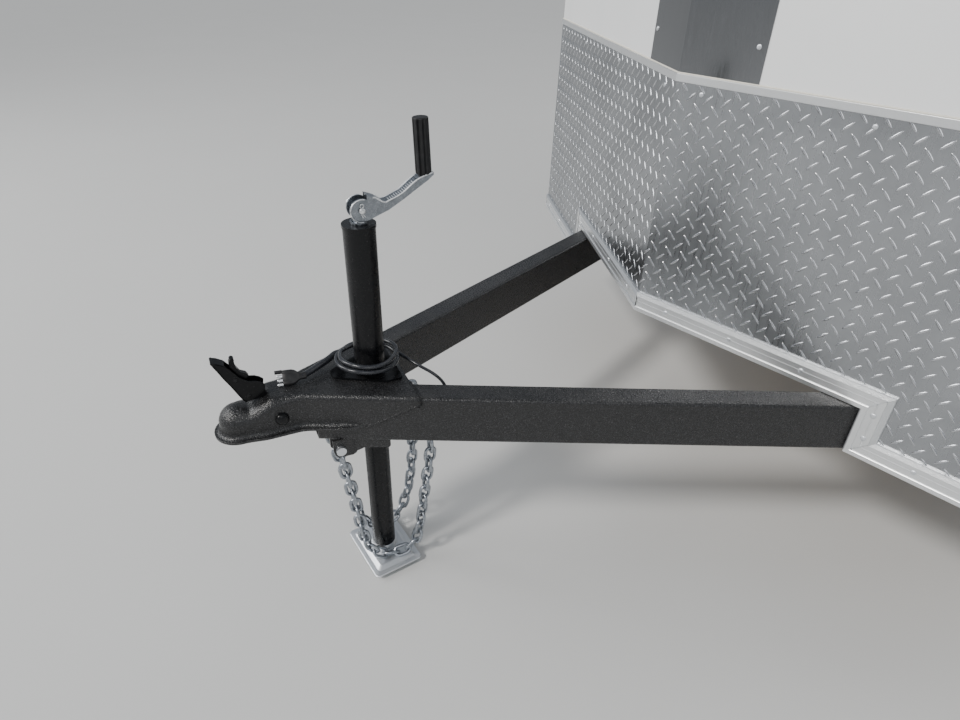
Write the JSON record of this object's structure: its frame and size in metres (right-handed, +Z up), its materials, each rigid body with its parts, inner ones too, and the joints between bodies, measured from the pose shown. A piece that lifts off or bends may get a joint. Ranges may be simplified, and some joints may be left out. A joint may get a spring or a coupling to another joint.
{
  "type": "enclosed cargo trailer",
  "caption": "Enclosed V-nose cargo trailer on one axle, with an A-frame tongue, coupler, crank jack, safety chains, tread plate guard, rear ramp door and side door.",
  "frame": {"origin": "on the ground, midway along the whole trailer and on its centreline", "axes": "+Z up, +Y towards the rear doors, -Y towards the coupler, +X the trailer's left side"},
  "size_m": [2.35, 4.9458, 2.5369],
  "materials": {
    "frame_black": "wrinkled black powder coat",
    "jack_black": "satin black powder coat",
    "skin_white": "gloss white prefinished sheet",
    "roof_skin": "mill finish sheet",
    "guard_plate": "bright rolled diamond plate",
    "bright_trim": "polished extrusion",
    "zinc_plate": "bright zinc plating",
    "grip_black": "moulded black grip",
    "cord_black": "glossy black jacket",
    "plug_black": "moulded black plug with brass pins",
    "gland_rubber": "black rubber",
    "plywood": "bare plywood",
    "axle_black": "black paint",
    "hub_steel": "dark cast metal with plated studs",
    "wheel_silver": "silver enamel",
    "tyre_black": "moulded black rubber",
    "lens_red": "clear red lens",
    "lens_amber": "clear amber lens",
    "vent_white": "moulded white plastic"
  },
  "bodies": {
    "chassis": {"tongue_beam_left": "frame_black", "tongue_beam_right": "frame_black", "frame_rail_left": "frame_black", "frame_rail_right": "frame_black", "nose_rails": "frame_black", "crossmembers": "frame_black", "rear_sill": "frame_black", "deck": "plywood", "side_wall_left": "skin_white", "side_wall_right": "skin_white", "nose_wall_left": "skin_white", "nose_wall_right": "skin_white", "rear_frame": "skin_white", "roof": "roof_skin", "roof_rail": "bright_trim", "stone_guard_left": "guard_plate", "stone_guard_right": "guard_plate", "guard_trim_left": "bright_trim", "guard_trim_right": "bright_trim", "guard_cap": "bright_trim", "nose_strip": "bright_trim", "coupler": "frame_black", "ball_clamp": "zinc_plate", "coupler_latch": "jack_black", "jack_tube": "jack_black", "jack_crank": "zinc_plate", "jack_grip": "grip_black", "chain_bracket": "frame_black", "chain_bolt": "zinc_plate", "safety_chain_left": "zinc_plate", "safety_chain_right": "zinc_plate", "wiring_plug": "plug_black", "wiring_lead": "cord_black", "wiring_coil": "cord_black", "wiring_tail": "cord_black", "wiring_gland": "gland_rubber", "axle": "axle_black", "leaf_springs": "axle_black", "spring_hangers": "frame_black", "fender_left": "bright_trim", "fender_right": "bright_trim", "rear_hardware": "zinc_plate", "side_door_frame": "bright_trim", "red_lamps": "lens_red", "amber_lamps": "lens_amber", "vents": "vent_white"},
    "jack_leg": {"jack_leg": "jack_black", "jack_foot": "zinc_plate"},
    "wheel_left": {"hub_left": "hub_steel", "wheel_left": "wheel_silver", "tyre_left": "tyre_black"},
    "wheel_right": {"hub_right": "hub_steel", "wheel_right": "wheel_silver", "tyre_right": "tyre_black"},
    "ramp_door": {"ramp_door": "skin_white", "ramp_door_hinges": "zinc_plate", "ramp_locks": "zinc_plate"},
    "side_door": {"side_door": "skin_white", "side_door_hardware": "zinc_plate"}
  },
  "joints": [
    {"name": "wheel_left_spin", "type": "hinge", "parent": "chassis", "child": "wheel_left", "pos_m": [1.06, 0.905, 0.3445], "axis": [1, 0, 0], "continuous": true},
    {"name": "wheel_right_spin", "type": "hinge", "parent": "chassis", "child": "wheel_right", "pos_m": [-1.06, 0.905, 0.3445], "axis": [1, 0, 0], "continuous": true},
    {"name": "ramp_door_hinge", "type": "hinge", "parent": "chassis", "child": "ramp_door", "pos_m": [0, 2.4309, 0.4859], "axis": [-1, 0, 0], "range_deg": [0, 104]},
    {"name": "side_door_hinge", "type": "hinge", "parent": "chassis", "child": "side_door", "pos_m": [-0.9254, -1.0477, 1.4], "axis": [0, 0, 1], "range_deg": [0, 175]},
    {"name": "jack_leg_slide", "type": "slide", "parent": "chassis", "child": "jack_leg", "axis": [0, 0, 1], "range_m": [0, 0.25], "deforming": ["safety_chain_left", "safety_chain_right"]}
  ]
}
